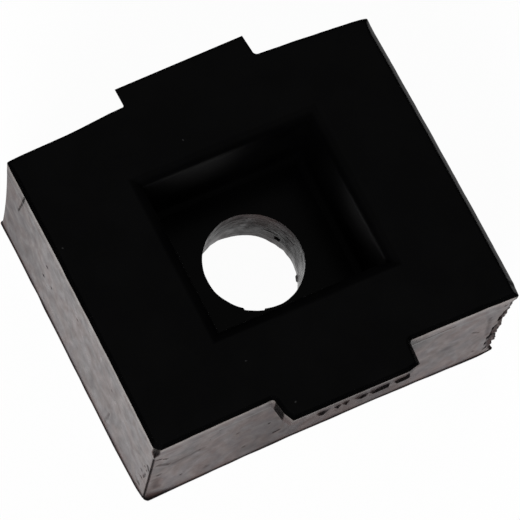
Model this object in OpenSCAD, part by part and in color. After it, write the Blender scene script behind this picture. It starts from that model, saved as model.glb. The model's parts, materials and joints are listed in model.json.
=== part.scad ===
// Rubber foot for a bench or a desk: one moulded block with a square pocket in its top,
// a screw bore through the pocket's floor, and an ear on each long side.
// The origin is on the bore's axis, in the plane that the foot stands on. X runs along
// the block, Y across it, Z up. All sizes are in millimetres.

/* [Block] */
// Length of the block, along X
block_l = 38.4; // [30:0.1:60]
// Width of the block at its ends, along Y, without the ears
block_w = 31.75; // [26:0.05:50]
// Height of the block
block_h = 13.5; // [11:0.1:24]
// How far the middle of the bowed long side stands out past its ends
side_bow = 0.85; // [0.4:0.05:2]
// How far the bore sits from the middle of the block's width, towards the bowed side
bore_offset = 0.25; // [0:0.05:1.5]

/* [Sides] */
// Radius of the roll round the top face, which ends in a sharp edge at each side
edge_r = 0.85; // [0.65:0.05:1.5]
// How far in from each side the roll starts
edge_run = 0.6; // [0.2:0.05:0.65]
// Height of the band below the top face where the sides stay upright
band_h = 0.7; // [0.6:0.05:1.5]
// How far each side draws in from the top edge to the lip at the bottom
side_draft = 0.15; // [0.1:0.05:1]
// Depth of the hollow in each side, from the line between its top and its foot
side_hollow = 0.15; // [0.1:0.05:0.8]
// Thickness of the lip along the bottom edge
lip_t = 0.2; // [0.1:0.05:0.8]
// How far the lip stands out from the side above it
lip_out = 0.1; // [0.05:0.05:0.5]

/* [Ears] */
// Length of each ear, along X
ear_l = 14; // [8:0.1:24]
// How far the middle of the ears sits from the bore's axis, along X
ear_shift = 0.4; // [-3:0.1:3]
// Thickness of each ear, down from the top face
ear_t = 2.4; // [1.6:0.1:6]
// How far the ear on the straight side stands out
straight_ear_out = 2.5; // [1.6:0.05:5]
// How far the ear on the bowed side stands out
bowed_ear_out = 2.15; // [1.2:0.05:5]
// Radius of the fillet where an ear meets its side
ear_fillet_r = 0.4; // [0.2:0.05:1]
// Size of the corner torn off one end of the ear on the straight side
torn_corner = 1; // [0.5:0.05:1.5]
// Length of the sliver clipped off that ear's other end, along X
clip_l = 1.3; // [0.5:0.1:2.5]
// Width of the sliver clipped off that ear's other end, along Y
clip_w = 0.45; // [0.2:0.05:1]

/* [Pocket] */
// Length of the pocket between its walls, along X
pocket_l = 17.6; // [13:0.1:22]
// Width of the pocket between its walls, along Y
pocket_w = 16.1; // [13:0.1:20]
// Depth of the pocket, down from the top face
pocket_d = 8.3; // [4:0.1:9.5]
// How far the middle of the pocket sits from the bore's axis, along X
pocket_shift_x = 0.4; // [-1:0.05:1]
// How far the middle of the pocket sits from the bore's axis, along Y
pocket_shift_y = 0.35; // [-1:0.05:1]
// Radius of the rolled rim round the pocket
rim_r = 0.9; // [0.3:0.05:1.5]
// Radius of the fillet between the pocket's walls and its floor
floor_r = 0.5; // [0.2:0.05:1.5]

/* [Bore] */
// Diameter of the bore
bore_d = 10.1; // [5:0.1:12]

/* [Torn edge] */
// Number of nicks torn in the upright edge of one corner
nick_count = 6; // [1:1:6]
// Radius of each nick
nick_r = 1.2; // [0.8:0.05:1.6]
// Depth of each nick
nick_d = 0.25; // [0.1:0.05:0.35]

/* [Hidden] */
$fn = 96;
// Facets round the very large circles that shape the sides
large_fn = 1440;
// How far a cutting shape runs past what it cuts
past = 1;

// Long sides, across Y: the straight one below the bore, the ends of the bowed one above it
straight_y = -block_w / 2 - bore_offset;
bowed_end_y = block_w / 2 - bore_offset;
bowed_mid_y = bowed_end_y + side_bow;
// Circle through both ends and the middle of the bowed side
bow_r = (pow(block_l / 2, 2) + pow(side_bow, 2)) / (2 * side_bow);
// Where the bowed side runs under the ends of its ear
bowed_root_y = bowed_mid_y - bow_r + sqrt(pow(bow_r, 2) - pow(ear_l / 2 + ear_fillet_r, 2));

// Hollow of a side: a circle through the foot of the upright band and the lip's root
hollow_top = [0, block_h - band_h];
hollow_foot = [-side_draft - lip_out, lip_t];
hollow_chord = norm(hollow_top - hollow_foot);
hollow_r = (pow(hollow_chord / 2, 2) + pow(side_hollow, 2)) / (2 * side_hollow);
hollow_out = [hollow_top[1] - hollow_foot[1], hollow_foot[0] - hollow_top[0]] / hollow_chord;
hollow_centre = (hollow_top + hollow_foot) / 2 + hollow_out * (hollow_r - side_hollow);
// How far a side lies inside the top edge at height z
function side_in(z) = sqrt(pow(hollow_r, 2) - pow(z - hollow_centre[1], 2)) - hollow_centre[0];

floor_z = block_h - pocket_d;
// How far the roll falls from the top face to its sharp edge
edge_drop = edge_r - sqrt(pow(edge_r, 2) - pow(edge_run, 2));
// The nicks share the height between the lip and the band
nick_pitch = (block_h - band_h - lip_t) / nick_count;

// Quarter of a square that lies outside a circle of radius r: the waste of a rounded corner
module corner_waste(r) {
    difference() {
        square(r + past);
        circle(r);
    }
}

// Section through one side. The top edge is at x = 0 and the rubber runs reach to the left.
module side_section(reach) {
    difference() {
        translate([-reach, 0]) square([reach, block_h]);
        translate([-edge_run, block_h - edge_r]) corner_waste(edge_r);
        intersection() {
            translate(hollow_centre) circle(hollow_r, $fn = large_fn);
            translate([-reach, lip_t]) square([reach + past, block_h]);
        }
        translate([-side_draft, -past]) square([side_draft + past, past + lip_t]);
    }
}

// The block's two ends, as one section from end to end run across its width
module ends() {
    depth = 2 * (block_w + side_bow);
    rotate([90, 0, 0]) translate([0, 0, -depth / 2]) linear_extrude(depth) intersection() {
        translate([block_l / 2, 0]) side_section(block_l);
        mirror([1, 0]) translate([block_l / 2, 0]) side_section(block_l);
    }
}

// The straight long side, run along the block
module straight_side() {
    translate([0, straight_y, 0]) rotate([90, 0, 90]) translate([0, 0, -block_l])
        linear_extrude(2 * block_l) mirror([1, 0]) side_section(2 * block_w);
}

// The bowed long side: the same section turned about the centre of its bow
module bowed_side() {
    translate([0, bowed_mid_y - bow_r, 0])
        rotate_extrude($fn = large_fn) translate([bow_r, 0]) side_section(2 * block_w);
}

// Outline of an ear seen from above: its side lies along y = 0 and it stands out to y = out
module ear_outline(out, torn) {
    depth = block_w / 4;
    difference() {
        translate([-ear_l / 2, -depth]) square([ear_l, depth + out]);
        if (torn) {
            polygon([
                [-ear_l / 2 - past, out + past],
                [-ear_l / 2 - past, out - torn_corner],
                [-ear_l / 2, out - torn_corner],
                [-ear_l / 2 + torn_corner, out],
                [-ear_l / 2 + torn_corner, out + past]
            ]);
            polygon([
                [ear_l / 2 - clip_l, out],
                [ear_l / 2, out - clip_w],
                [ear_l / 2 + past, out - clip_w],
                [ear_l / 2 + past, out + past],
                [ear_l / 2 - clip_l, out + past]
            ]);
        }
    }
}

// Fillets in the corners between an ear and its side, up to the sharp edge at their top
module ear_fillets() {
    height = ear_t - edge_drop;
    for (end = [0, 1]) mirror([end, 0, 0])
        translate([ear_l / 2, 0, block_h - ear_t]) linear_extrude(height) difference() {
            translate([-past, -past]) square(past + ear_fillet_r);
            translate([ear_fillet_r, ear_fillet_r]) circle(ear_fillet_r);
        }
}

// Section through the rubber that an ear is cut from, with a rolled edge at its outer end
module rolled_section(reach, out) {
    difference() {
        translate([-reach, 0]) square([reach + out, block_h]);
        translate([out - edge_run, block_h - edge_r]) corner_waste(edge_r);
    }
}

// One ear, with the rolled edge of the top face carried round its tip and both its ends
module ear(out, torn) {
    intersection() {
        translate([0, 0, block_h - ear_t]) linear_extrude(ear_t) ear_outline(out, torn);
        rotate([90, 0, 90]) translate([0, 0, -ear_l]) linear_extrude(2 * ear_l)
            rolled_section(block_w, out);
        rotate([90, 0, 0]) translate([0, 0, -block_w]) linear_extrude(2 * block_w) intersection() {
            rolled_section(ear_l, ear_l / 2);
            mirror([1, 0]) rolled_section(ear_l, ear_l / 2);
        }
    }
    ear_fillets();
}

module ears() {
    translate([ear_shift, straight_y, 0]) mirror([0, 1, 0]) ear(straight_ear_out, true);
    translate([ear_shift, bowed_root_y, 0]) ear(bowed_mid_y + bowed_ear_out - bowed_root_y, false);
}

// Section across the pocket, wall to wall, with a rolled rim and a filleted floor
module pocket_section(wide) {
    difference() {
        translate([-wide / 2 - rim_r, floor_z]) square([wide + 2 * rim_r, pocket_d + past]);
        for (wall = [0, 1]) mirror([wall, 0]) {
            translate([wide / 2 + rim_r, block_h - rim_r]) circle(rim_r);
            translate([wide / 2, 0]) square([rim_r + past, block_h - rim_r]);
            translate([wide / 2 - floor_r, floor_z + floor_r]) rotate(-90) corner_waste(floor_r);
        }
    }
}

// The pocket: two sections run across each other, which meet at mitred corners
module pocket() {
    run = block_l + block_w;
    translate([pocket_shift_x, pocket_shift_y, 0]) intersection() {
        rotate([90, 0, 0]) translate([0, 0, -run / 2]) linear_extrude(run) pocket_section(pocket_l);
        rotate([90, 0, 90]) translate([0, 0, -run / 2]) linear_extrude(run) pocket_section(pocket_w);
    }
}

// Nicks torn out of the upright edge between the straight side and one end
module nicks() {
    for (i = [0 : nick_count - 1]) {
        z = lip_t + (i + 0.5) * nick_pitch;
        in = side_in(z);
        translate([block_l / 2 - in, straight_y + in, z]) rotate([0, 90, 45])
            translate([0, nick_d - nick_r, 0]) cylinder(r = nick_r, h = 4 * nick_r, center = true);
    }
}

module foot() {
    color([0.06, 0.06, 0.06]) difference() {
        union() {
            intersection() {
                ends();
                straight_side();
                bowed_side();
            }
            ears();
        }
        pocket();
        translate([0, 0, -past]) cylinder(d = bore_d, h = block_h);
        nicks();
    }
}

foot();
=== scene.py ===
import json
import math

import bpy
import numpy as np
from mathutils import Matrix, Vector


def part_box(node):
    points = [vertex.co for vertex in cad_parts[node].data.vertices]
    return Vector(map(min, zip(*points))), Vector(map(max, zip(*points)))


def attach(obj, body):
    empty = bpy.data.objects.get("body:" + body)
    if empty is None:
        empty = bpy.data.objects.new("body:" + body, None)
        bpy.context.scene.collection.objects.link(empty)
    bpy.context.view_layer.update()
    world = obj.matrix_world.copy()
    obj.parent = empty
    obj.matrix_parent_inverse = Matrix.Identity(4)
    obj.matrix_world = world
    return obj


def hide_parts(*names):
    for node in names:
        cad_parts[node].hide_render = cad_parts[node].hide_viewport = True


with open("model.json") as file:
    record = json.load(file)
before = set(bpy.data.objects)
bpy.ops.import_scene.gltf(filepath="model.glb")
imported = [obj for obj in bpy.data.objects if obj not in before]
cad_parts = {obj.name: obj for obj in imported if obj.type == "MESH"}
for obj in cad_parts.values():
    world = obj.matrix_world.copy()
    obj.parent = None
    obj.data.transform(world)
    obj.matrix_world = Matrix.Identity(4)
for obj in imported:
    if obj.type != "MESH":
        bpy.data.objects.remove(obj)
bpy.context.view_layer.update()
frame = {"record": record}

# ---------------------------------------------------------------- Rubber foot
# The foot is one block of black rubber, moulded in a single shot with its pocket, its
# screw bore and its two ears. Its sides were trimmed to size, which left a sharp edge
# round the top, one torn upright corner and a ragged lower edge on one ear.

# Sizes in metres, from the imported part: the block and its ears fill the box, and the
# mounts give the pocket's floor, the bore and the underside of the ears.
foot_low, foot_high = (np.array(corner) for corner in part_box("foot"))
mounts = {mount["name"]: mount for mount in frame["record"]["mounts"]}
half_length = foot_high[0]
top_z = foot_high[2]
ear_foot_z = mounts["straight_ear_seat"]["pos_m"][2]
floor_z = mounts["screw_bore"]["pos_m"][2]
bore_r = mounts["screw_bore"]["dims"]["r_mm"] / 1000

# Corners of the block at its sharp top edge, anticlockwise from the one with the flash on
# its foot. Trimming left them a little out of square, and two of the sides dished.
corners = np.array([
    (-half_length, -0.01625),
    (half_length - 0.00014, -0.01610),
    (half_length - 0.00012, 0.01556),
    (-half_length, 0.01573),
])
straight_dish = 0.00026
minus_end_dish = 0.00012
plus_end_dish = 0.00008
nipped = 0.00015
nipped_reach = 0.0014
side_bow = 0.00088
bow_dent = 0.00021
bow_r = (half_length**2 + side_bow**2) / (2 * side_bow)

# Where each ear starts and stops along its side
straight_from, straight_to = -0.00678, 0.00742
bowed_from, bowed_to = 0.00725, -0.00655


def straight_y(x):
    """Where the straight long side runs at x: the line between its corners, dished by a parabola."""
    part = (x - corners[0, 0]) / (corners[1, 0] - corners[0, 0])
    return corners[0, 1] + (corners[1, 1] - corners[0, 1]) * part + straight_dish * 4 * part * (1 - part)


def bowed_y(x):
    """Where the bowed long side runs at x: the line between its corners, plus the rise of a circle
    through both ends and the middle of the bow, less a squared sine's dent on the -X side of its ear."""
    part = (x - corners[3, 0]) / (corners[2, 0] - corners[3, 0])
    rise = side_bow - bow_r + np.sqrt(bow_r**2 - np.square(np.clip(x, -half_length, half_length)))
    dent = bow_dent * np.sin(np.pi * np.clip((x + half_length) / (half_length + bowed_to), 0, 1)) ** 2
    return corners[3, 1] + (corners[2, 1] - corners[3, 1]) * part + rise - dent


def end_x(y, start, end, dish, rise=0.0):
    """Where an end runs at y: the line between two corners, dished towards +X by a parabola. A rise lifts
    it outwards close to the start, and falls off in a straight line to the end."""
    part = (y - start[1]) / (end[1] - start[1])
    lift = rise * np.clip(np.abs(y - start[1]) / nipped_reach, 0, 1) * (1 - part)
    return start[0] + (end[0] - start[0]) * part + dish * 4 * part * (1 - part) + lift


fillet_steps = 6


def arc(centre, radius, start, end):
    """Points on an arc: the centre plus the radius turned from one angle to another, in degrees."""
    turn = np.radians(np.linspace(start, end, fillet_steps))
    return np.array(centre) + radius * np.column_stack([np.cos(turn), np.sin(turn)])


# Outline of each ear at the sharp edge, walked anticlockwise round the foot: a fillet off
# the side, the ear's end, its tip, its other end and a fillet back. The straight ear has
# a torn corner and a clipped sliver; the bowed ear is a little askew.
straight_r, bowed_r, sharp_r = 0.00030, 0.00038, 0.00015
straight_tip_y, bowed_tip_y = foot_low[1], foot_high[1]

straight_ear = np.concatenate([
    arc((straight_from - straight_r, straight_y(straight_from) - straight_r), straight_r, 90, 0),
    [
        (-0.00656, straight_tip_y + 0.00102),
        (-0.00610, straight_tip_y + 0.00006),
        (0.00600, straight_tip_y),
        (0.00726, straight_tip_y + 0.00030),
    ],
    arc((straight_to + straight_r, straight_y(straight_to) - straight_r), straight_r, 180, 90),
])
bowed_ear = np.concatenate([
    arc((bowed_from + bowed_r, bowed_y(bowed_from) + bowed_r), bowed_r, 270, 180),
    [(0.00708, bowed_tip_y), (-0.00658, bowed_tip_y - 0.00024)],
    arc((bowed_to - sharp_r, bowed_y(bowed_to) + sharp_r), sharp_r, 0, -90),
])

# How far each point of an ear's outline has moved at the ear's foot: one end of the
# straight ear slopes outwards, and one end of the bowed ear is undercut towards its tip.
straight_slope = np.zeros_like(straight_ear)
straight_slope[:fillet_steps + 2, 0] = -0.00018
bowed_slope = np.zeros_like(bowed_ear)
bowed_slope[fillet_steps + 1:, 0] = [0.00075, 0.00006, 0.00004, 0.00002, 0, 0, 0]


def roots(outline, side_y):
    """Where each point of an ear's outline is rooted in its side: shared out evenly by length along the
    outline, from the first fillet to the last."""
    run = np.r_[0, np.cumsum(np.linalg.norm(np.diff(outline, axis=0), axis=1))]
    x = outline[0, 0] + (outline[-1, 0] - outline[0, 0]) * run / run[-1]
    return np.column_stack([x, side_y(x)])


def fillet_ramp(outline):
    """How far each point of an ear's outline stands on the ear: it climbs along each fillet."""
    ramp = np.ones(len(outline))
    ramp[:fillet_steps] = np.linspace(0, 1, fillet_steps)
    ramp[-fillet_steps:] = np.linspace(1, 0, fillet_steps)
    return ramp


# The whole outline as a closed chain of stops, each with its root on the plain block, the
# number of the side it starts, how far it stands on an ear, and its slope.
still = np.zeros((1, 2))
stops = np.concatenate([corners[:1], straight_ear, corners[1:3], bowed_ear, corners[3:]])
stop_roots = np.concatenate([
    corners[:1], roots(straight_ear, straight_y), corners[1:3], roots(bowed_ear, bowed_y), corners[3:],
])
stop_slope = np.concatenate([still, straight_slope, still, still, bowed_slope, still])
stop_side = np.r_[np.zeros(1 + len(straight_ear)), 1, np.full(1 + len(bowed_ear), 2), 3].astype(int)
stop_on_ear = np.concatenate([[0], fillet_ramp(straight_ear), [0, 0], fillet_ramp(bowed_ear), [0]])


def mitres(points):
    """How each corner of a closed outline moves for one unit of inset: the inward normals of its two
    edges added, over one plus their product."""
    edge = np.roll(points, -1, axis=0) - points
    edge /= np.linalg.norm(edge, axis=1, keepdims=True)
    inward = np.column_stack([-edge[:, 1], edge[:, 0]])
    before = np.roll(inward, 1, axis=0)
    return (before + inward) / (1 + np.sum(before * inward, axis=1, keepdims=True))


# Columns of the mesh: each stretch between two stops is shared out at about one step. Long
# stretches crowd their columns towards both ends, where the corners and the roots are.
column_step = 0.00025
long_stretch = 20 * column_step
crowding = 0.70
stretch = np.linalg.norm(np.roll(stops, -1, axis=0) - stops, axis=1)
counts = np.maximum(1, np.ceil(stretch / column_step)).astype(int)
shares = []
for length, count in zip(stretch, counts):
    even = np.arange(count) / count
    bend = crowding if length > long_stretch else 0
    shares.append(even - bend * np.sin(2 * np.pi * even) / (2 * np.pi))
share = np.concatenate(shares)
stop_of = np.repeat(np.arange(len(stops)), counts)
columns = len(share)


def along(values):
    """A value given at each stop, carried in a straight line along each stretch to every column."""
    values = np.asarray(values, float)
    after = np.roll(values, -1, axis=0)
    part = share if values.ndim == 1 else share[:, None]
    return values[stop_of] * (1 - part) + after[stop_of] * part


def on_sides(outline, wanted):
    """An outline with its wanted columns moved sideways onto the true curve of the side they are on."""
    x, y = outline.T
    curved = outline.copy()
    curved[:, 1] = np.where(wanted & (side == 0), straight_y(x), curved[:, 1])
    curved[:, 1] = np.where(wanted & (side == 2), bowed_y(x), curved[:, 1])
    plus_end = end_x(y, corners[1], corners[2], plus_end_dish, nipped)
    minus_end = end_x(y, corners[3], corners[0], minus_end_dish)
    curved[:, 0] = np.where(wanted & (side == 1), plus_end, curved[:, 0])
    curved[:, 0] = np.where(wanted & (side == 3), minus_end, curved[:, 0])
    return curved


on_ear = along(stop_on_ear)
side = stop_side[stop_of]
eared = on_sides(along(stops), on_ear == 0)
eared_in = along(mitres(stops))
eared_slope = along(stop_slope)
plain = on_sides(along(stop_roots), on_ear >= 0)

# Share of each column along its own side, which the pocket's sides and the insets follow
side_from, side_to = corners[side], np.roll(corners, -1, axis=0)[side]
lengthways = (side % 2 == 0)[:, None]
reached, side_run = plain - side_from, side_to - side_from
side_share = np.where(lengthways, reached[:, :1], reached[:, 1:])
side_share = side_share / np.where(lengthways, side_run[:, :1], side_run[:, 1:])
corner_in = np.array([(1, 1), (-1, 1), (-1, -1), (1, -1)], float)
plain_in = corner_in[side] * (1 - side_share) + np.roll(corner_in, -1, axis=0)[side] * side_share

# Small round on each upright corner: a square corner region is drawn in to its circle
corner_round = 0.00014
corner_near = np.where(side_share < 0.5, side_from, side_to)
to_corner = np.linalg.norm(plain - corner_near, axis=1)
beside = np.clip(1 - to_corner / corner_round, 0, None)
pull = np.where(to_corner < corner_round, 1 - 1 / np.hypot(1, beside), 0)
outward = np.sign(corner_near)
along_side = np.where(lengthways, (1, 0), (0, 1)) * outward
across_side = outward - along_side
corner_pull = -corner_round * (pull * beside)[:, None] * along_side
corner_pull = corner_pull - corner_round * pull[:, None] * across_side

# Pocket: its walls lie round the bore, and its rim rolls out into the top face
pocket_low = np.array([-0.0084, -0.0077])
pocket_high = np.array([0.0092, 0.0084])
rim_r = 0.0009
pocket_floor_r = 0.0005
pocket_corners = np.array([
    pocket_low,
    (pocket_high[0], pocket_low[1]),
    pocket_high,
    (pocket_low[0], pocket_high[1]),
])
pocket = pocket_corners[side] * (1 - side_share) + np.roll(pocket_corners, -1, axis=0)[side] * side_share
bore_turn = np.arctan2(pocket[:, 1], pocket[:, 0])
bore_unit = np.column_stack([np.cos(bore_turn), np.sin(bore_turn)])

# Top edge: on each side the top face turns down on a radius, runs on as a bevel where it has
# one, and stops at a sharp edge
roll_turns = np.radians([36, 38, 22, 36])
roll_radii = np.array([0.00040, 0.00060, 0.00085, 0.00040])
roll_bevels = np.array([0.00042, 0.00050, 0.0, 0.00042])
blend_reach = 0.0015


def by_side(values):
    """One value for each side, carried to every column and blended with the next side's near a corner."""
    beyond = values[np.where(side_share[:, 0] < 0.5, side - 1, (side + 1) % 4)]
    near = 0.5 * np.clip(1 - to_corner / blend_reach, 0, 1) ** 2
    return values[side] * (1 - near) + beyond * near


edge_turn, edge_r, edge_bevel = by_side(roll_turns), by_side(roll_radii), by_side(roll_bevels)
edge_run = edge_bevel * np.cos(edge_turn) + edge_r * np.sin(edge_turn)
edge_z = top_z - edge_bevel * np.sin(edge_turn) - edge_r * (1 - np.cos(edge_turn))

# Sides: a very shallow hollow from the sharp edge to a thin lip at the foot
side_draft = 0.00003
side_hollow = 0.00012
lip_t = 0.00018
lip_out = 0.00013
hollow_rise = edge_z - lip_t
hollow_run = side_draft + lip_out


def side_in(z):
    """How far a side lies inside the sharp edge at height z: a straight line from the edge to the foot,
    plus a parabola for the hollow."""
    fall = np.clip((edge_z - z) / hollow_rise, 0, 1)
    return hollow_run * fall + side_hollow * 4 * fall * (1 - fall)


def smooth_noise(u, v, seed, wrap):
    """Random heights from -1 to 1 on a lattice with one point a unit, blended between the four nearest
    points by smoothstep weights. The lattice repeats along u after wrap points."""
    heights = np.random.default_rng(seed).uniform(-1, 1, (wrap, 64))
    u, v = np.broadcast_arrays(u, v)
    column, row = np.floor(u).astype(int), np.floor(v).astype(int)
    a, b = u - column, v - row
    a, b = a * a * (3 - 2 * a), b * b * (3 - 2 * b)
    here, beyond = column % wrap, (column + 1) % wrap
    under, over = row % 64, (row + 1) % 64
    lower = heights[here, under] * (1 - a) + heights[beyond, under] * a
    upper = heights[here, over] * (1 - a) + heights[beyond, over] * a
    return lower * (1 - b) + upper * b


# Distance of each column along the plain outline, from the corner that the walk starts at
step_lengths = np.linalg.norm(np.roll(plain, -1, axis=0) - plain, axis=1)
walked = np.r_[0, np.cumsum(step_lengths)[:-1]]
girth = step_lengths.sum()


def round_noise(waves, row, seed):
    """Random heights from -1 to 1 that come round again, with so many lattice points round the foot."""
    return smooth_noise(walked / girth * waves, row, seed, waves)


slow_depth, fine_depth, ripple_depth = 0.000014, 0.000005, 0.000018
ripple_reach = 0.0014


def unevenness(z):
    """How far the surface of a side lies under its true form: a slow wave, a finer one, and a ripple that
    only reaches a little way down from the sharp edge, all never outwards."""
    slow = round_noise(30, z / 0.0045, 3)
    fine = round_noise(110, z / 0.0016, 8)
    ripple = round_noise(96, 0.5, 12) + 0.6 * round_noise(290, 0.5, 13)
    near_top = np.clip(1 - (edge_z - z) / ripple_reach, 0, 1) * (on_ear < 1)
    return slow_depth * (1 + slow) + fine_depth * (1 + fine) + ripple_depth * (1.6 + ripple) * near_top


# Leaning corners: near the first corner both faces draw in towards the foot, and near the last
# one the bowed side does. The -X end has a slight belly at its foot, and the lip is pulled in
# under the torn corner.
from_leaning = np.linalg.norm(plain - corners[0], axis=1)
from_torn = np.linalg.norm(plain - corners[1], axis=1)
from_last = np.linalg.norm(plain - corners[3], axis=1)
lean_reach = 0.0040
lean = np.array([0.00010, 0.00040])
lean_fade = np.clip(1 - from_leaning / lean_reach, 0, None) ** 2
far_lean = np.array([0.0, -0.00029])
far_fade = np.clip(1 - from_last / lean_reach, 0, None) ** 2
belly = np.array([-0.00018, 0.0])
belly_rise = 4 * side_share[:, 0] * (1 - side_share[:, 0]) * (0.3 + 1.4 * side_share[:, 0])
belly_fade = np.where(side == 3, belly_rise, 0)
pulled = np.array([-0.00070, 0.00020])
pulled_reach = 0.0026
pulled_h = 0.0005
pulled_fade = np.clip(1 - from_torn / pulled_reach, 0, None) ** 1.5


def leaning(z):
    """How far each column has moved at height z: the leans, which fade with the square of the distance
    from their corners, and the belly, a parabola along its side that is tilted towards the leaning
    corner. All grow towards the foot. The lip alone is pulled in under the torn corner."""
    low = np.clip(1 - z / edge_z, 0, 1)[..., None]
    at_foot = np.clip(1 - z / pulled_h, 0, 1)[..., None]
    moved = low * (lean_fade[:, None] * lean + far_fade[:, None] * far_lean + belly_fade[:, None] * belly)
    return moved + at_foot * pulled_fade[:, None] * pulled


# Torn corner: rubber pulled out of the upright edge between the straight side and the +X end. It
# left a rough facet that deepens in steps towards the foot. Each step gives its height, then in
# millimetres its depth and its spread along the side and along the end.
tear_steps = [
    (0.0, 0.05, 0.6, 0.75), (0.0002, 0.25, 0.8, 0.90), (0.0006, 0.70, 0.9, 0.85),
    (0.0014, 0.60, 1.0, 0.56), (0.0027, 0.60, 1.3, 0.78), (0.0037, 0.60, 1.4, 0.86),
    (0.0041, 0.50, 1.5, 0.56), (0.0057, 0.42, 1.5, 0.52), (0.0072, 0.44, 1.3, 0.56),
    (0.0081, 0.35, 1.1, 0.42), (0.0096, 0.30, 0.95, 0.40), (0.0108, 0.27, 0.7, 0.40),
    (0.0123, 0.24, 0.5, 0.36), (0.0130, 0.0, 0.3, 0.20),
]
tear_z, tear_in, side_spread, end_spread = np.array(tear_steps).T
tear_grain = 0.00018
tear_ragged, ragged_from = 0.00014, 0.0004

# Short pits along the facet's border on the side. Each gives the height of its head, how high
# and how deep it is, how far its middle lies from the corner, and its half length.
pit_foot_h, pit_end_l = 0.00007, 0.00014
pits = [
    (0.00966, 0.00080, 0.00036, 0.00087, 0.00020), (0.00786, 0.00080, 0.00042, 0.00099, 0.00034),
    (0.00590, 0.00060, 0.00046, 0.00124, 0.00030), (0.00449, 0.00066, 0.00046, 0.00124, 0.00034),
    (0.00290, 0.00030, 0.00014, 0.00125, 0.00024),
]
overhang = 0.00006

# Rows that slant down away from the torn corner, so that the pits' heads do
tear_slant = 0.9
slant_head_h, slant_foot_h = 0.0026, 0.0025
slant_from, slant_to = 0.0022, 0.0050
slant_fade = from_torn * np.clip((slant_to - from_torn) / (slant_to - slant_from), 0, 1)


def slanted(z):
    """How far rows sink towards the torn corner's pits: they slant down away from the corner, and come
    back level at the foot and under the ears."""
    window = np.clip((ear_foot_z - z) / slant_head_h, 0, 1) * np.clip(z / slant_foot_h, 0, 1)
    return tear_slant * slant_fade * window


def torn(z):
    """How far each place in the row that starts at height z is on the torn facet: 1 at the corner, and 0
    where the facet's spread at that height ends, with a ragged border."""
    spread = np.where(side == 0, np.interp(z, tear_z, side_spread), np.interp(z, tear_z, end_spread)) / 1000
    ragged = tear_ragged * smooth_noise(from_torn / 0.0005, z / 0.0006, 31, 256)
    return np.clip(1 - (from_torn + ragged * np.clip(from_torn / ragged_from, 0, 1)) / spread, 0, 1)


def pitted(z, above=0.0):
    """Depth of the pits in the row that starts at height z: each starts within the overhang's height,
    and is as deep at its foot as at its head. Above widens each pit in height."""
    depth = np.zeros(np.broadcast_shapes(z.shape, from_torn.shape))
    for head, high, deep, middle, reach in pits:
        start = np.clip((head + above - z) / overhang, 0, 1)
        foot = np.clip((z - head + high + above) / pit_foot_h, 0, 1)
        along_side = np.clip((reach - np.abs(from_torn - middle)) / pit_end_l, 0, 1) * (side == 0)
        depth = np.maximum(depth, deep * start * foot * along_side)
    return depth


def tears(z):
    """Depth torn away in the row that starts at height z: the facet's depth at the corner, easing off to
    its border, with a grain that changes from row to row, plus the pits."""
    facet = torn(z)
    within = np.clip(facet * 4, 0, 1) * np.clip((1 - facet) * 2.5, 0.15, 1)
    grain = tear_grain * smooth_noise(from_torn / 0.00040, z / 0.00026, 33, 256) * within
    return np.clip(np.interp(z, tear_z, tear_in) / 1000 * facet**0.9 + grain, 0, None) + pitted(z)


# Chip off the top of the leaning corner
chip_reach, chip_h, chip_in = 0.00060, 0.0015, 0.00024
chip_foot_h = 0.0004


def chipped(z):
    """How far each place is in the chip: a cone round the corner, cut off level below."""
    return np.clip(1 - from_leaning / chip_reach, 0, 1) * np.clip((z - edge_z + chip_h) / chip_foot_h, 0, 1)


# Ragged lower edge of the straight ear: a ledge of torn rubber along parts of its tip
ear_inset = 0.00025
ledge_end_l = 0.00012
ledge_spans = [
    (-0.0031, -0.0022), (-0.0015, -0.0009), (-0.0006, -0.0001),
    (0.0009, 0.0019), (0.0022, 0.0044), (0.0049, 0.0066),
]
ledge = np.zeros(columns)
for start, end in ledge_spans:
    inside = np.minimum(eared[:, 0] - start, end - eared[:, 0]) / ledge_end_l
    ledge = np.maximum(ledge, np.clip(inside + 0.6 * smooth_noise(walked / 0.0003, 0.5, 21, 4096), 0, 1))
ledge = ledge * ((side == 0) & (on_ear == 1))
ledge_h = 0.00024 + 0.00016 * smooth_noise(walked / 0.0005, 0.5, 22, 4096)


def rows_of(outline, z):
    """Rows of the mesh: an outline for each row and its height, as one array of points."""
    z = np.broadcast_to(z, outline.shape[:2])
    return np.concatenate([outline, z[:, :, None]], axis=2)


def block_rows(inset, z, ear=0.0):
    """Rows round the outside: the plain outline and the eared one, each drawn in by its inset, mixed by
    how far the row has run out under the ears. The leaning corner and the ears' slopes move with z."""
    inset = np.asarray(inset, float)[..., None]
    ear = np.asarray(ear, float)[..., None]
    slope = np.clip((edge_z - z) / (edge_z - ear_foot_z), 0, 1)[..., None] * eared_slope
    outline = (1 - ear) * (plain + inset * plain_in) + ear * (eared + inset * eared_in + slope)
    return rows_of(outline + corner_pull + leaning(z), z)


def pocket_rows(inset, z):
    """Rows round the pocket: its outline drawn in by the inset, or out where the inset is negative."""
    return rows_of(pocket + np.asarray(inset, float)[..., None] * plain_in, z)


def between(first, last, steps, crowd=0.0):
    """Rows between two single rows, both left out: straight lines shared out evenly, or crowded towards
    both ends by a sine."""
    part = np.arange(1, steps + 1) / (steps + 1)
    part = (part - crowd * np.sin(2 * np.pi * part) / (2 * np.pi))[:, None, None]
    return first * (1 - part) + last * part


def column_of(values):
    """A list of values as one value a row."""
    return np.asarray(values, float)[:, None]


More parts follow.
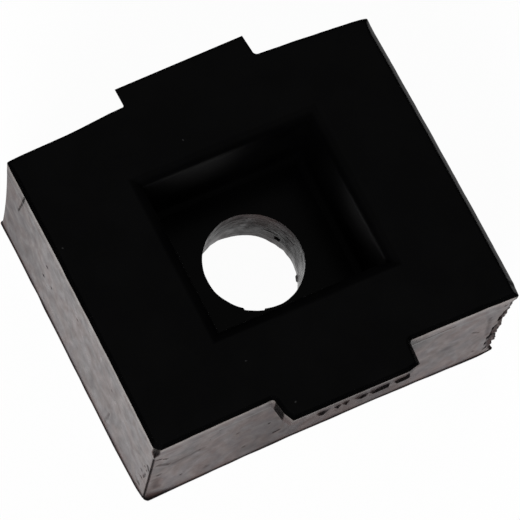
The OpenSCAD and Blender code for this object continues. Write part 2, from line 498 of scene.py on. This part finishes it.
# The bore was cut a little off upright and out of round: its mouth is flattened on the -X side,
# and nicked on the -Y side.
bore_edge_r = 0.00002
bore_middle_low = np.array([-0.00022, 0.00006])
bore_middle_high = np.array([-0.00008, -0.00004])
mouth_r = 0.00500
mouth_flat, mouth_flat_turn = 0.00014, math.radians(195)
mouth_out = mouth_r - bore_r - mouth_flat * np.clip(1.6 * np.cos(bore_turn - mouth_flat_turn), 0, 1)
nick_in, nick_turn, nick_half = 0.00017, math.radians(-115), 12
nick = nick_in * np.clip(nick_half - np.degrees(np.abs(bore_turn - nick_turn)), 0, 1)

# Two places where the drill snatched, one a pit and one a flap left standing at the foot: the
# direction and height of each, its half width and half height, and how deep it goes
gouges = [(29, 0.00150, 0.00034, 0.00026, 0.00022), (-19, 0.00014, 0.00038, 0.00036, -0.00014)]
gouge_side_l, gouge_end_h = 0.00010, 0.00012
bore_wave = 0.00006


def gouged(z):
    """Depth of the gouges at height z on the bore's wall: each is a box with steep ends."""
    depth = 0.0
    for turn, middle, wide, high, deep in gouges:
        aside = np.abs(bore_turn - math.radians(turn)) * bore_r
        across = np.clip((wide - aside) / gouge_side_l, 0, 1)
        depth = depth + deep * across * np.clip((high - np.abs(z - middle)) / gouge_end_h, 0, 1)
    return depth


def bore_shape(z):
    """How far each place on the bore's wall lies outside its true circle at height z: a straight line
    from the foot to the mouth, plus waves and the gouges. Also how far the middle of the bore has moved
    there, again in a straight line."""
    part = np.clip(z / floor_z, 0, 1)
    waves = smooth_noise(bore_turn / (2 * np.pi) * 22 + 22, z / 0.0012, 17, 22)
    waves = waves + 0.5 * smooth_noise(bore_turn / (2 * np.pi) * 61 + 61, z / 0.0007, 18, 61)
    outwards = (mouth_out + nick) * part + bore_wave * waves * (1 - 0.5 * part) + gouged(z)
    return outwards, bore_middle_low * (1 - part)[..., None] + bore_middle_high * part[..., None]


def bore_rows(outside, z):
    """Rows round the bore, each so far outside its wall at that height."""
    z = np.asarray(z, float)
    outwards, middle = bore_shape(z)
    return rows_of(middle + (bore_r + outwards + outside)[..., None] * bore_unit, z)


# Underside and lip, with a flash left on the foot of the leaning corner and a nick by the torn one
foot_bevel = 0.00003
bore_foot = bore_rows(bore_edge_r, column_of([0.0]))
lip_z = column_of([0, foot_bevel, 0.6 * lip_t, lip_t])
lip_wave = 0.00004 * (1 + round_noise(90, 0.5, 5))
flash_run = 0.0007
flash = 1.1 * lean[1] * lean_fade * np.clip(from_leaning / flash_run, 0, 1) * (side == 0)
nicked_at, nicked_half = 0.00036, 0.00024
lip_nick = 0.00018 * np.clip(1 - np.abs(from_torn - nicked_at) / nicked_half, 0, 1) * (side == 1)
lip_in = side_draft + lip_wave + lip_nick - flash + column_of([foot_bevel, 0, 0, foot_bevel])
lip = block_rows(lip_in, lip_z)
underside = between(bore_foot[:1], lip[:1], 5)

# Sides up to the ears, in even rows but for those at the head and the foot of each pit
row_gap = 0.00002
side_foot_z = lip_t + row_gap
clear_of_pits = 0.00012
pit_head, pit_h = np.array(pits).T[:2]
pit_rows = np.unique([pit_head, pit_head - overhang, pit_head - pit_h + pit_foot_h, pit_head - pit_h])
even_rows = np.linspace(side_foot_z, ear_foot_z, 42)
even_rows = even_rows[np.min(np.abs(even_rows[:, None] - pit_rows), axis=1) > clear_of_pits]
pit_rows = pit_rows[pit_rows > 2 * lip_t]
row_z = column_of(np.unique(np.r_[side_foot_z, even_rows, ear_foot_z, pit_rows]))
side_z = row_z - slanted(row_z)
sides = block_rows(side_in(side_z) + unevenness(side_z) + tears(row_z), side_z)

# Undersides of the ears, and on up to the sharp edge
run_out = column_of(np.linspace(0, 1, 9)[1:])
ear_step = 0.0003
ear_tuck = 0.0001
ear_z = ear_foot_z + ear_step * run_out * (1 - on_ear)
ear_in = (side_in(ear_z) + unevenness(ear_z) + tears(ear_z)) * (1 - on_ear)
ear_in = ear_in + (ear_inset + ear_tuck) * on_ear * run_out + side_in(ear_foot_z) * on_ear * (1 - run_out)
ear_in = ear_in - ear_inset * 0.9 * ledge * run_out
ear_undersides = block_rows(ear_in, ear_z, run_out)

ear_face_h = 0.0012
ledge_top = 0.00004
face_part = column_of(np.r_[np.linspace(0, 1, 13)[1:-1] ** 1.3, 0.97, 1])
face_start = ear_foot_z + ear_step * (1 - on_ear) + row_gap * on_ear
face_z = face_start + (edge_z - face_start) * face_part
ledge_part = np.clip(1 - (face_z - ear_foot_z - ledge_h) / ledge_top, 0, 1)
face_in = (side_in(face_z) + unevenness(face_z) + tears(face_z) + chip_in * chipped(face_z)) * (1 - on_ear)
ear_face_in = ear_inset * np.clip((edge_z - face_z) / ear_face_h, 0, 1)
face_in = face_in + on_ear * (ear_face_in - 0.95 * ear_inset * ledge * ledge_part)
faces_up = block_rows(face_in, face_z, 1.0)

bevel_part = column_of([0.94, 0, 0, 0, 0, 0, 0])
roll_turn = edge_turn * column_of([0.985, 0.97, 0.8, 0.6, 0.4, 0.2, 0])
rolled_in = face_in[-1] + edge_run - edge_r * np.sin(roll_turn) - edge_bevel * np.cos(edge_turn) * bevel_part
rolled_z = top_z - edge_r * (1 - np.cos(roll_turn)) - edge_bevel * np.sin(edge_turn) * bevel_part
rolled = block_rows(rolled_in, rolled_z, 1.0)

# Top face, rolled rim, pocket and bore
rim_turn = column_of(np.linspace(0, np.pi / 2, 8))
rim = pocket_rows(-rim_r * (1 - np.sin(rim_turn)), top_z - rim_r * (1 - np.cos(rim_turn)))
top_face = between(rolled[-1:], rim[:1], 10, 0.6)
fillet_turn = column_of(np.linspace(np.pi / 2, 0, 5))
pocket_fillet = pocket_rows(
    pocket_floor_r * (1 - np.sin(fillet_turn)), floor_z + pocket_floor_r * (1 - np.cos(fillet_turn))
)
wall = between(rim[-1:], pocket_fillet[:1], 8, 0.3)
mouth = bore_rows(bore_edge_r, column_of([floor_z]))
pocket_floor = between(pocket_fillet[-1:], mouth, 6, 0.4)
bore_z = column_of(np.linspace(floor_z - bore_edge_r, bore_edge_r, 24))
bore_wall = bore_rows(0.0, bore_z)

# Bare rubber that is neither skin nor cleanly cut: the tears, the chip, the ledge and the
# clipped end of its ear, and a fine line down the leaning corner. Its dust is painted darker
# there and in the pits, as painted shade.
clipped_end = (stop_of == fillet_steps) * 1.0
line_half, line_soft = 0.00017, 0.00006
edge_line = np.clip((line_half - from_leaning) / line_soft, 0, 1)
matt_z, matt_share = [0.0010, 0.0030, 0.0060], [0.12, 0.32, 0.42]
facet_matt_and_shade = np.clip(torn(row_z) * 6, 0, 1) * np.interp(row_z, matt_z, matt_share)
pit_margin = 0.00008
side_matt_and_shade = np.maximum(facet_matt_and_shade, np.clip(pitted(row_z, pit_margin) / pit_margin, 0, 1))
side_matt_and_shade = np.maximum(side_matt_and_shade, edge_line)
face_matt_and_shade = np.maximum(np.clip(torn(face_z) * 4, 0, 0.7) * (on_ear < 1), edge_line)
face_matt_and_shade = np.maximum(face_matt_and_shade, np.clip(chipped(face_z) * 3, 0, 1))
above_ledge, ledge_soft = 0.00012, 0.00006
ledge_zone = np.clip(1 - (face_z - ear_foot_z - ledge_h - above_ledge) / ledge_soft, 0, 1)
face_matt_and_shade = np.maximum(face_matt_and_shade, np.maximum(clipped_end, ledge * ledge_zone))

rim_matt = by_side(np.array([1.0, 0.4, 0.4, 1.0]))
wall_matt = by_side(np.array([1.0, 0.3, 0.3, 1.0]))
# Painted shade: the gouges' dust is darkened through the matt layer
gouge_matt, gouge_full = 0.6, 0.0001
bore_matt_and_shade = gouge_matt * np.clip(np.abs(gouged(bore_z)) / gouge_full, 0, 1)

# The runs in order round the section. Each gives how far trimming has taken the moulded skin off
# it, and how matt it is, which on cut rubber also darkens the dust as painted shade. 0 is skin or
# clean, and 1 is cut rubber or matt.
runs = [
    (bore_foot, 0.0, 0.5), (underside, 0.0, 0.5), (lip, 0.12, 0.5), (sides, 1.0, side_matt_and_shade),
    (ear_undersides, 0.5, ledge), (faces_up, 1.0, face_matt_and_shade), (rolled, 0.0, 0.0),
    (top_face, 0.0, 0.0), (rim, 0.0, rim_matt), (wall, 0.0, wall_matt), (pocket_fillet, 0.0, 0.6),
    (pocket_floor, 0.0, 0.0), (mouth, 0.0, 0.0), (bore_wall, 1.0, bore_matt_and_shade),
]
grid = np.concatenate([rows for rows, bare, matt_and_shade in runs])
cut = np.concatenate([np.broadcast_to(bare, rows.shape[:2]) for rows, bare, matt_and_shade in runs])
matt_and_shade = np.concatenate([np.broadcast_to(matt_and_shade, rows.shape[:2]) for rows, bare, matt_and_shade in runs])
bored = np.concatenate([np.full(rows.shape[:2], float(rows is bore_wall)) for rows, bare, matt_and_shade in runs])

# How dull each column's cut rubber is. The same value darkens its dust as painted shade. The -X
# end is least dull and lightest, except near its +Y corner, and the straight side is duller. It is
# dullest and darkest where the ear stands, as painted shade under the ear. The bore was cut with a
# hollow drill, and it is dullest and darkest on its +Y side, as painted shade.
dull_at = [
    (-0.0190, 0.55), (-0.0125, 0.75), (-0.0060, 1.05),
    (0.0060, 1.05), (0.0100, 0.62), (0.0190, 0.5),
]
dull_x, dull_value = np.array(dull_at).T
minus_end_dull_reach = 0.010
minus_end_dull = 0.20 + 0.50 * np.clip(1 - from_last / minus_end_dull_reach, 0, 1)
side_dull_and_shade = np.choose(side, [np.interp(plain[:, 0], dull_x, dull_value), 0.35, 0.45, minus_end_dull])
bore_dull_and_shade = 0.05 + 0.50 * np.cos(bore_turn - math.radians(70))
dull_and_shade = np.where(bored > 0, bore_dull_and_shade, side_dull_and_shade)


def grid_mesh(name, points, layers):
    """A mesh from a grid of points that closes on itself both ways: each point is joined to the next in
    its row and the next in its column, with both counted round. Each layer gives a value a point."""
    rows, across = points.shape[:2]
    index = np.arange(rows * across).reshape(rows, across)
    right = np.roll(index, -1, axis=1)
    quads = np.stack([index, right, np.roll(right, -1, axis=0), np.roll(index, -1, axis=0)], axis=2)
    mesh = bpy.data.meshes.new(name)
    mesh.from_pydata(points.reshape(-1, 3), [], quads.reshape(-1, 4).tolist())
    mesh.polygons.foreach_set("use_smooth", np.ones(len(mesh.polygons), bool))
    for layer, values in layers.items():
        attribute = mesh.attributes.new(layer, "FLOAT", "POINT")
        attribute.data.foreach_set("value", np.ascontiguousarray(values, np.float32).ravel())
    mesh.update()
    return mesh


layers = {"cut": cut, "bored": bored, "dull_and_shade": dull_and_shade, "matt_and_shade": matt_and_shade}
foot = bpy.data.objects.new("rubber_foot", grid_mesh("rubber_foot", grid, layers))
bpy.context.scene.collection.objects.link(foot)
foot.data.set_sharp_from_angle(angle=math.radians(32))
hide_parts("foot")
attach(foot, "root")


def add(tree, kind, sockets, **settings):
    """A new shader node with its settings. Each socket takes either a plain value or the output that
    feeds it."""
    node = tree.nodes.new("ShaderNode" + kind)
    for name, value in settings.items():
        setattr(node, name, value)
    for socket, value in sockets.items():
        if isinstance(value, bpy.types.NodeSocket):
            tree.links.new(value, node.inputs[socket])
        else:
            node.inputs[socket].default_value = value
    return node


def math_of(tree, operation, first, second=0.0, third=0.0):
    """One sum on two or three numbers."""
    return add(tree, "Math", {0: first, 1: second, 2: third}, operation=operation).outputs[0]


def vector_of(tree, operation, first, second, third=(0, 0, 0)):
    """One sum on two or three places."""
    return add(tree, "VectorMath", {0: first, 1: second, 2: third}, operation=operation).outputs[0]


def ramp_of(tree, value, low, high, at_low=0.0, at_high=1.0):
    """A smooth step from one value to another between two limits."""
    sockets = {"Value": value, "From Min": low, "From Max": high, "To Min": at_low, "To Max": at_high}
    return add(tree, "MapRange", sockets, interpolation_type="SMOOTHSTEP").outputs[0]


def grain_of(tree, place, scale, detail, roughness=0.55):
    """Fractal noise from 0 to 1, stretched along each axis by the scale, which counts lumps a millimetre."""
    stretched = vector_of(tree, "MULTIPLY", place, scale)
    sockets = {"Vector": stretched, "Scale": 1.0, "Detail": detail, "Roughness": roughness}
    return add(tree, "TexNoise", sockets).outputs[0]


def blend_of(tree, factor, first, second):
    """A colour blended from one to another."""
    return add(tree, "Mix", {0: factor, 6: first, 7: second}, data_type="RGBA").outputs[2]


def mark_group(name, sockets):
    """A new node group with vector and number inputs and one mask. Gives the group, its input sockets
    and the socket that takes the mask out."""
    group = bpy.data.node_groups.new(name, "ShaderNodeTree")
    for socket, kind in sockets.items():
        group.interface.new_socket(socket, in_out="INPUT", socket_type=kind)
    group.interface.new_socket("Mask", in_out="OUTPUT", socket_type="NodeSocketFloat")
    given = group.nodes.new("NodeGroupInput").outputs
    out = group.nodes.new("NodeGroupOutput").inputs["Mask"]
    return group, given, out


# A scratch: a soft line between two places, full along its middle and 0 at its half width
VECTOR, NUMBER = "NodeSocketVector", "NodeSocketFloat"
scratch, given, scratch_out = mark_group(
    "scratch", {"Place": VECTOR, "Start": VECTOR, "End": VECTOR, "Half Width": NUMBER, "Strength": NUMBER}
)
reach = vector_of(scratch, "SUBTRACT", given["Place"], given["Start"])
line = vector_of(scratch, "SUBTRACT", given["End"], given["Start"])
passed = add(scratch, "VectorMath", {0: reach, 1: line}, operation="DOT_PRODUCT").outputs[1]
whole = add(scratch, "VectorMath", {0: line, 1: line}, operation="DOT_PRODUCT").outputs[1]
part = add(scratch, "Math", {0: passed, 1: whole}, operation="DIVIDE", use_clamp=True).outputs[0]
nearest = add(scratch, "VectorMath", {0: line, 3: part}, operation="SCALE").outputs[0]
aside = add(scratch, "VectorMath", {0: reach, 1: nearest}, operation="DISTANCE").outputs[1]
scratch.links.new(ramp_of(scratch, aside, 0.0, given["Half Width"], given["Strength"], 0.0), scratch_out)

# A spot: a soft round mark, full in its middle and 0 at its radius
spot, given, spot_out = mark_group(
    "spot", {"Place": VECTOR, "Middle": VECTOR, "Radius": NUMBER, "Strength": NUMBER}
)
aside = add(spot, "VectorMath", {0: given["Place"], 1: given["Middle"]}, operation="DISTANCE").outputs[1]
spot.links.new(ramp_of(spot, aside, 0.0, given["Radius"], given["Strength"], 0.0), spot_out)


def marks_of(tree, place, kind, names, marks, strongest=0.0):
    """All the marks of one kind on one face: the greatest of their masks. Each gives the group's named
    sockets in turn, in millimetres, and the strength last."""
    for values in marks:
        mark = tree.nodes.new("ShaderNodeGroup")
        mark.node_tree = kind
        tree.links.new(place, mark.inputs["Place"])
        for name, value in zip(names, values):
            mark.inputs[name].default_value = value
        strongest = math_of(tree, "MAXIMUM", strongest, mark.outputs["Mask"])
    return strongest


rubber = bpy.data.materials.new("black_rubber")
rubber.use_nodes = True
tree = rubber.node_tree
shader = tree.nodes["Principled BSDF"]
shader.inputs["IOR"].default_value = 1.5

# Where things are on the foot, in millimetres, and what the mesh says about each place
object_place = add(tree, "TexCoord", {}).outputs["Object"]
place = add(tree, "VectorMath", {0: object_place, 3: 1000.0}, operation="SCALE").outputs[0]
axes = add(tree, "SeparateXYZ", {0: place}).outputs
is_cut, is_bored, is_dull_and_shade, is_matt_and_shade = (
    add(tree, "Attribute", {}, attribute_name=name).outputs["Fac"] for name in layers
)

# Grain: drawn-out streaks down the trimmed sides, rings round the bore, soft patches, and
# fine lumps
wander = add(tree, "TexNoise", {"Vector": place, "Scale": 0.35, "Detail": 2.0}).outputs[1]
shifted = vector_of(tree, "MULTIPLY_ADD", wander, (2.2, 2.2, 2.2), place)
down_streaks = grain_of(tree, shifted, (0.7, 0.7, 0.32), 3.0, 0.5)
bore_rings = grain_of(tree, shifted, (0.10, 0.10, 1.5), 3.0, 0.6)
streaks = add(tree, "Mix", {"Factor": is_bored, "A": down_streaks, "B": bore_rings}).outputs[0]
lumps = grain_of(tree, place, (5.0, 5.0, 5.0), 3.0)
clouds = grain_of(tree, shifted, (0.22, 0.22, 0.30), 4.0, 0.5)
patches = grain_of(tree, shifted, (0.9, 0.9, 0.8), 3.0, 0.5)
tint = grain_of(tree, shifted, (0.6, 0.6, 0.4), 2.0, 0.5)

# Marks from trimming and handling, in millimetres: on the -X end as (y, z), on the
# straight side as (x, z), in the bore, and pale flecks on the top as (x, y)
scratch_names = ("Start", "End", "Half Width", "Strength")
spot_names = ("Middle", "Radius", "Strength")
end_scratches = [
    ((0, 11.8, 13.0), (0, 12.2, 10.9), 0.27, 1.0), ((0, 12.2, 10.9), (0, 12.65, 8.3), 0.17, 0.8),
    ((0, -7.9, 3.7), (0, -7.5, 1.0), 0.30, 0.28),
    ((0, -15.3, 7.6), (0, -15.6, 6.9), 0.17, 0.8), ((0, -15.2, 5.2), (0, -15.0, 4.0), 0.20, 0.6),
]
end_spots = [
    ((0, 6.5, 7.9), 0.30, 1.0), ((0, 6.9, 5.1), 0.32, 1.0), ((0, 5.2, 5.6), 0.24, 0.9),
    ((0, 0.0, 9.2), 0.30, 0.5), ((0, -7.5, 8.5), 0.22, 0.6), ((0, -14.9, 6.5), 0.22, 0.7),
    ((0, -15.3, 6.2), 0.20, 0.7), ((0, -14.7, 3.3), 0.28, 0.6), ((0, -14.5, 4.7), 0.26, 0.6),
    ((0, -14.5, 1.4), 0.45, 0.45), ((0, 8.0, 3.5), 1.30, 0.15),
]
side_scratches = [
    ((-18.7, 0, 10.5), (-18.2, 0, 10.2), 0.20, 0.7), ((-17.9, 0, 9.9), (-17.5, 0, 9.5), 0.18, 0.7),
    ((-18.3, 0, 8.6), (-17.2, 0, 7.7), 0.45, 0.4), ((-18.1, 0, 4.4), (-17.9, 0, 2.2), 0.80, 0.38),
    ((16.6, 0, 9.9), (17.0, 0, 5.3), 0.40, 0.25),
    ((-16.6, 0, 7.4), (-13.6, 0, 7.9), 0.50, 0.20), ((-5.5, 0, 3.0), (-4.9, 0, 3.1), 0.28, 0.7),
    ((8.0, 0, 11.65), (12.5, 0, 11.75), 0.11, 0.4), ((15.2, 0, 7.4), (15.9, 0, 6.8), 0.26, 0.35),
]
side_spots = [
    ((17.9, 0, 11.8), 0.24, 0.8), ((-17.9, 0, 5.5), 0.42, 0.5), ((-13.9, 0, 7.8), 0.22, 0.5),
    ((-13.0, 0, 9.4), 0.17, 0.5), ((-15.4, 0, 3.0), 0.22, 0.6), ((-12.1, 0, 11.2), 0.28, 0.45),
    ((-9.9, 0, 7.6), 0.32, 0.4), ((-12.6, 0, 2.0), 0.60, 0.3), ((-6.4, 0, 6.3), 0.24, 0.9),
    ((-8.7, 0, 2.8), 0.40, 0.3), ((16.1, 0, 1.9), 0.28, 0.4), ((12.5, 0, 6.0), 0.90, 0.15),
]
bore_scratches = [
    ((3.2, 3.9, 2.2), (4.3, 2.6, 2.4), 0.22, 0.4), ((4.9, 0.6, 3.4), (4.7, 1.6, 3.2), 0.20, 0.5),
]
top_flecks = [
    ((-18.15, 5.6, 0), 0.12, 0.5), ((-2.95, 11.0, 0), 0.12, 0.6),
    ((-7.55, -11.5, 0), 0.11, 0.5), ((-5.15, -17.05, 0), 0.14, 0.6),
]
frayed = add(tree, "TexNoise", {"Vector": place, "Scale": 2.0, "Detail": 2.0}).outputs[1]
frayed = vector_of(tree, "SUBTRACT", frayed, (0.5, 0.5, 0.5))
ragged = vector_of(tree, "MULTIPLY_ADD", frayed, (0.3, 0.3, 0.3), place)
on_end = vector_of(tree, "MULTIPLY", ragged, (0, 1, 1))
on_side = vector_of(tree, "MULTIPLY", ragged, (1, 0, 1))
on_top = vector_of(tree, "MULTIPLY", ragged, (1, 1, 0))
end_worn = marks_of(tree, on_end, scratch, scratch_names, end_scratches)
end_worn = marks_of(tree, on_end, spot, spot_names, end_spots, end_worn)
side_worn = marks_of(tree, on_side, scratch, scratch_names, side_scratches)
side_worn = marks_of(tree, on_side, spot, spot_names, side_spots, side_worn)
bore_worn = marks_of(tree, place, scratch, scratch_names, bore_scratches)
flecks = marks_of(tree, on_top, spot, spot_names, top_flecks)
end_worn = math_of(tree, "MULTIPLY", end_worn, ramp_of(tree, axes[0], -18.0, -18.3))
side_worn = math_of(tree, "MULTIPLY", side_worn, ramp_of(tree, axes[1], -15.0, -15.3))
bore_worn = math_of(tree, "MULTIPLY", bore_worn, is_bored)
flecks = math_of(tree, "MULTIPLY", flecks, ramp_of(tree, axes[2], 13.2, 13.4))
worn = math_of(tree, "MAXIMUM", math_of(tree, "MAXIMUM", end_worn, side_worn), bore_worn)
worn = math_of(tree, "MULTIPLY", worn, is_cut)

# Colour: black skin, and a pale reddish bloom of rubber dust on whatever was cut. Along the top
# edge of the sides the bloom is raised and paler, as painted light.
# Painted light: a band along the top edge of the sides, where the dust is painted thicker and paler
lit_top_band = ramp_of(tree, axes[2], 12.1, 13.0)
bloom_light_and_shade = math_of(tree, "MULTIPLY_ADD", clouds, 0.9, 0.35)
streak_share = math_of(tree, "MULTIPLY_ADD", is_bored, 2.9, 0.24)
bloom_light_and_shade = math_of(tree, "MULTIPLY_ADD", math_of(tree, "SUBTRACT", streaks, 0.5), streak_share, bloom_light_and_shade)
bloom_light_and_shade = math_of(tree, "MULTIPLY_ADD", lit_top_band, 0.4, bloom_light_and_shade)
# The real marks darken the dust, and the dull and matt layers darken it further as painted shade
for darkening, share_lost in ((worn, 0.85), (is_dull_and_shade, 0.45), (is_matt_and_shade, 0.9)):
    bloom_light_and_shade = math_of(tree, "MULTIPLY", bloom_light_and_shade, math_of(tree, "MULTIPLY_ADD", darkening, -share_lost, 1.0))
bloom_light_and_shade = add(tree, "Math", {0: bloom_light_and_shade, 1: is_cut}, operation="MULTIPLY", use_clamp=True).outputs[0]
red_dust, grey_dust = (0.090, 0.061, 0.058, 1), (0.077, 0.060, 0.063, 1)
# Painted light: the paler colour of the band along the top edge
painted_edge_light = (0.155, 0.140, 0.130, 1)
deep_skin, light_skin = (0.0005, 0.0005, 0.0006, 1), (0.0009, 0.0009, 0.0010, 1)
fleck_grey = (0.05, 0.05, 0.05, 1)
dust_and_edge_light = blend_of(tree, ramp_of(tree, tint, 0.40, 0.62), red_dust, grey_dust)
dust_and_edge_light = blend_of(tree, math_of(tree, "MULTIPLY", lit_top_band, 0.7), dust_and_edge_light, painted_edge_light)
skin = blend_of(tree, ramp_of(tree, clouds, 0.35, 0.65), deep_skin, light_skin)
colour = blend_of(tree, bloom_light_and_shade, skin, dust_and_edge_light)
colour = blend_of(tree, flecks, colour, fleck_grey)
tree.links.new(colour, shader.inputs["Base Color"])

# Gloss: satin skin, duller where it is cut, in patches, and dullest in the marks and tears
cut_rough = math_of(tree, "MULTIPLY_ADD", is_dull_and_shade, 0.30, 0.30)
cut_rough = math_of(tree, "MULTIPLY_ADD", math_of(tree, "SUBTRACT", patches, 0.5), 0.45, cut_rough)
cut_rough = math_of(tree, "MULTIPLY_ADD", math_of(tree, "SUBTRACT", lumps, 0.5), 0.12, cut_rough)
cut_rough = math_of(tree, "MULTIPLY_ADD", worn, 0.6, cut_rough)
skin_rough = math_of(tree, "MULTIPLY_ADD", lumps, 0.10, 0.22)
rough = add(tree, "Mix", {"Factor": is_cut, "A": skin_rough, "B": cut_rough}).outputs[0]
rough = add(tree, "Math", {0: is_matt_and_shade, 1: 0.6, 2: rough}, operation="MULTIPLY_ADD", use_clamp=True)
tree.links.new(rough.outputs[0], shader.inputs["Roughness"])

# Relief in millimetres: streaks and lumps on cut rubber, faint lumps on the skin, the marks
# pressed in, and small shingles that face up where rubber was torn
streak_depth = math_of(tree, "MULTIPLY_ADD", is_bored, 0.095, 0.004)
lump_depth = math_of(tree, "MULTIPLY_ADD", is_bored, 0.012, 0.003)
lump_depth = math_of(tree, "MULTIPLY_ADD", is_matt_and_shade, 0.12, lump_depth)
cut_relief = math_of(tree, "MULTIPLY", lumps, lump_depth)
cut_relief = math_of(tree, "MULTIPLY_ADD", streaks, streak_depth, cut_relief)
cut_relief = math_of(tree, "MULTIPLY_ADD", worn, -0.15, cut_relief)
shingle = math_of(tree, "FRACT", math_of(tree, "MULTIPLY_ADD", axes[2], 2.0, lumps))
cut_relief = math_of(tree, "MULTIPLY_ADD", math_of(tree, "MULTIPLY", shingle, is_matt_and_shade), -0.40, cut_relief)
skin_relief = math_of(tree, "MULTIPLY", lumps, 0.002)
relief = add(tree, "Mix", {"Factor": is_cut, "A": skin_relief, "B": cut_relief}).outputs[0]
bump = add(tree, "Bump", {"Strength": 1.0, "Distance": 0.001, "Height": relief})
tree.links.new(bump.outputs[0], shader.inputs["Normal"])
foot.data.materials.append(rubber)

# ---------------------------------------------------------------- Floor
# A plain white sheet that the foot stands on. It reads as white paper to the eye and in
# reflections, keeps a little of the foot's shadow, and is dimmer in reflections in the middle of
# the bore, where the foot shades it.
floor_size = 3.0
paper_glow = 0.97
under_bore, under_bore_r = 0.15, 0.0046
sheet = bpy.data.meshes.new("floor")
floor_corners = floor_size / 2 * np.array([(-1, -1, 0), (1, -1, 0), (1, 1, 0), (-1, 1, 0)])
sheet.from_pydata(floor_corners, [], [(0, 1, 2, 3)])
floor = bpy.data.objects.new("floor", sheet)
bpy.context.scene.collection.objects.link(floor)

paper = bpy.data.materials.new("white_paper")
paper.use_nodes = True
tree = paper.node_tree
paper_shader = tree.nodes["Principled BSDF"]
paper_shader.inputs["Base Color"].default_value = (0.85, 0.85, 0.85, 1)
paper_shader.inputs["Roughness"].default_value = 1
paper_shader.inputs["Specular IOR Level"].default_value = 0
glow = add(tree, "Emission", {"Strength": 1.0})
rays = add(tree, "LightPath", {}).outputs
floor_place = add(tree, "TexCoord", {}).outputs["Object"]
from_middle = add(tree, "VectorMath", {0: floor_place}, operation="LENGTH").outputs[1]
mirrored = ramp_of(tree, from_middle, 0.75 * under_bore_r, under_bore_r, under_bore, 1.0)
mirrored = math_of(tree, "MULTIPLY", rays["Is Glossy Ray"], mirrored)
seen = math_of(tree, "MAXIMUM", rays["Is Camera Ray"], mirrored)
glowing = math_of(tree, "MULTIPLY", seen, paper_glow)
surface = add(tree, "MixShader", {0: glowing, 1: paper_shader.outputs[0], 2: glow.outputs[0]})
tree.links.new(surface.outputs[0], tree.nodes["Material Output"].inputs["Surface"])
sheet.materials.append(paper)

# ---------------------------------------------------------------- Light
# A dim room behind a white backdrop, darkest at the horizon, with one large soft lamp at
# the near corner and a weaker one across from it.
room_low, room_high = 0.004, 0.056
world = bpy.data.worlds.new("studio")
bpy.context.scene.world = world
world.use_nodes = True
tree = world.node_tree
rays = add(tree, "LightPath", {}).outputs
sky = add(tree, "TexCoord", {}).outputs["Generated"]
height = add(tree, "SeparateXYZ", {0: sky}).outputs[2]
room = ramp_of(tree, height, 0.45, 0.95, room_low, room_high)
tree.nodes["Background"].inputs["Color"].default_value = (1, 1, 1, 1)
strength = add(tree, "Mix", {"Factor": rays["Is Camera Ray"], "A": room, "B": 1.0})
tree.links.new(strength.outputs[0], tree.nodes["Background"].inputs["Strength"])


def soft_lamp(name, place, size, power, mirrored):
    """A square lamp of a size and a power at a place, turned to face the foot. A lamp that is not
    mirrored lights the foot without showing in its gloss."""
    lamp = bpy.data.lights.new(name, "AREA")
    lamp.shape = "SQUARE"
    lamp.size = size
    lamp.energy = power
    holder = bpy.data.objects.new(name, lamp)
    holder.location = place
    holder.rotation_euler = Vector(place).to_track_quat("Z", "Y").to_euler()
    holder.visible_glossy = mirrored
    bpy.context.scene.collection.objects.link(holder)


soft_lamp("near_lamp", (-0.42, -0.49, 0.30), 0.30, 8.0, False)
soft_lamp("far_lamp", (0.42, 0.49, 0.25), 0.30, 3.0, False)

# ---------------------------------------------------------------- Camera
# A long lens looks down at the foot's left front corner, turned a little about its axis.
aim = Vector((0.000178, -0.000636, 0.006719))
camera_distance = 0.4301
camera_azimuth = math.radians(-40.487)
camera_elevation = math.radians(65.755)
camera_roll = math.radians(-15.175)
camera_lens = 313.4

back = Vector((
    math.sin(camera_azimuth) * math.cos(camera_elevation),
    -math.cos(camera_azimuth) * math.cos(camera_elevation),
    math.sin(camera_elevation),
))
camera_data = bpy.data.cameras.new("camera")
camera_data.lens = camera_lens
camera_data.sensor_width = 36
camera = bpy.data.objects.new("camera", camera_data)
level = back.to_track_quat("Z", "Y").to_matrix()
camera.matrix_world = Matrix.Translation(aim + camera_distance * back) @ (
    level @ Matrix.Rotation(-camera_roll, 3, "Z")
).to_4x4()
bpy.context.scene.collection.objects.link(camera)
bpy.context.scene.camera = camera

bpy.context.scene.view_settings.view_transform = "Standard"
